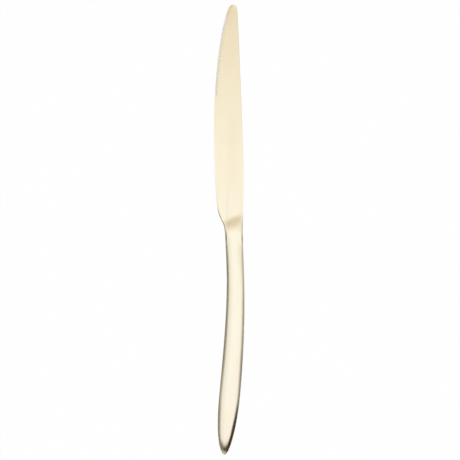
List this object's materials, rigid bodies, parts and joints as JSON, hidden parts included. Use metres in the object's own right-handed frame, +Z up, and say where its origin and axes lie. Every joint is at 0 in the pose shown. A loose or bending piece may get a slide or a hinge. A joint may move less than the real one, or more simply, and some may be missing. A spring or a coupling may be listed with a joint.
{
  "type": "dessert knife",
  "caption": "Slim table knife with a long rounded blade, fine teeth on its front edge, a ramped bolster and a bowed, lens-shaped hollow handle, for cutting soft food at the table.",
  "frame": {"origin": "on the table under the middle of the knife's bounding box, with the knife lying on its side", "axes": "+Y along the knife from the butt to the tip, +X across it from the cutting edge to the spine, +Z up from the table through the handle's thickness"},
  "size_m": [0.0142, 0.21, 0.0051],
  "materials": {
    "satin_gold_blade": "stainless steel with a satin champagne-gold coat",
    "polished_gold_handle": "stainless steel with a glossy champagne-gold coat",
    "braze": "ground flush and coated like the handle",
    "mastic": "hard cast mastic, hidden inside"
  },
  "bodies": {
    "root": {"blade": "satin_gold_blade", "handle_shell_front": "polished_gold_handle", "handle_shell_back": "polished_gold_handle", "handle_seam_braze": "braze", "bolster_joint_braze": "braze", "handle_filling": "mastic"}
  },
  "joints": []
}
